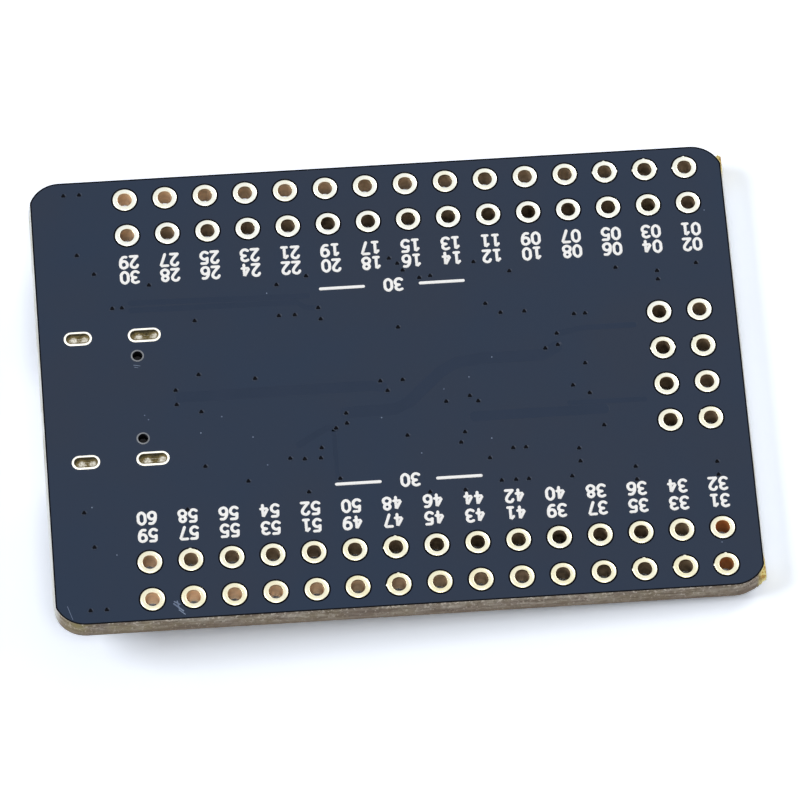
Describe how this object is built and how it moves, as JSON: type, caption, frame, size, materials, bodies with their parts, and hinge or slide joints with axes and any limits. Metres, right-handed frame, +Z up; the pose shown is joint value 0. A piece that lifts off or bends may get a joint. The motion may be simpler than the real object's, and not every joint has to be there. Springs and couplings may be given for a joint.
{
  "type": "development board",
  "caption": "Bare microcontroller development board lying component side down: plated header holes in long rows and an end block, USB-C receptacle, press buttons below.",
  "frame": {"origin": "middle of the board's outline, on the surface that the USB-C shell stands on", "axes": "+Z up, out of the solder side; +X along the long side, away from the USB-C mouth; +Y across the board"},
  "size_m": [0.0442, 0.0308, 0.0048],
  "materials": {
    "solder_mask": "satin dark blue-black solder mask over fibreglass",
    "shell_steel": "nickel-plated stamped steel",
    "black_moulding": "matt black moulding compound",
    "gold_contact": "gold-plated contact",
    "tinned_lead": "matt tin over copper",
    "crystal_ceramic": "pale ceramic",
    "crystal_lid": "lapped metal lid",
    "switch_moulding": "black heat-proof moulding",
    "button_moulding": "off-white moulding",
    "light_base": "white laminate",
    "light_lens": "clear epoxy with a yellow tint",
    "capacitor_ceramic": "tan ceramic",
    "resistor_glaze": "black glaze"
  },
  "bodies": {
    "board": {"bare_board": "solder_mask", "usb_shell": "shell_steel", "usb_insulator": "black_moulding", "usb_contacts": "gold_contact", "microcontroller_body": "black_moulding", "microcontroller_leads": "tinned_lead", "regulator_body": "black_moulding", "regulator_leads": "tinned_lead", "diode_body": "black_moulding", "diode_tabs": "tinned_lead", "main_crystal_base": "crystal_ceramic", "main_crystal_lid": "crystal_lid", "clock_crystal_base": "crystal_ceramic", "clock_crystal_lid": "crystal_lid", "switch_terminals": "tinned_lead", "light_bases": "light_base", "light_lenses": "light_lens", "capacitor_bodies": "capacitor_ceramic", "capacitor_end_caps": "tinned_lead", "resistor_bodies": "resistor_glaze", "resistor_end_caps": "tinned_lead", "reset_switch_base": "switch_moulding", "reset_switch_cover": "shell_steel", "reset_switch_dome": "shell_steel", "boot_switch_base": "switch_moulding", "boot_switch_cover": "shell_steel", "boot_switch_dome": "shell_steel", "user_switch_base": "switch_moulding", "user_switch_cover": "shell_steel", "user_switch_dome": "shell_steel"},
    "reset_button": {"reset_button": "button_moulding"},
    "boot_button": {"boot_button": "button_moulding"},
    "user_button": {"user_button": "button_moulding"}
  },
  "joints": [
    {"name": "reset_press", "type": "slide", "parent": "board", "child": "reset_button", "axis": [0, 0, 1], "range_m": [0, 0.00025], "stiffness_N_per_m": 6400, "deforming": ["reset_switch_dome"]},
    {"name": "boot_press", "type": "slide", "parent": "board", "child": "boot_button", "axis": [0, 0, 1], "range_m": [0, 0.00025], "stiffness_N_per_m": 6400, "deforming": ["boot_switch_dome"]},
    {"name": "user_press", "type": "slide", "parent": "board", "child": "user_button", "axis": [0, 0, 1], "range_m": [0, 0.00025], "stiffness_N_per_m": 6400, "deforming": ["user_switch_dome"]}
  ]
}
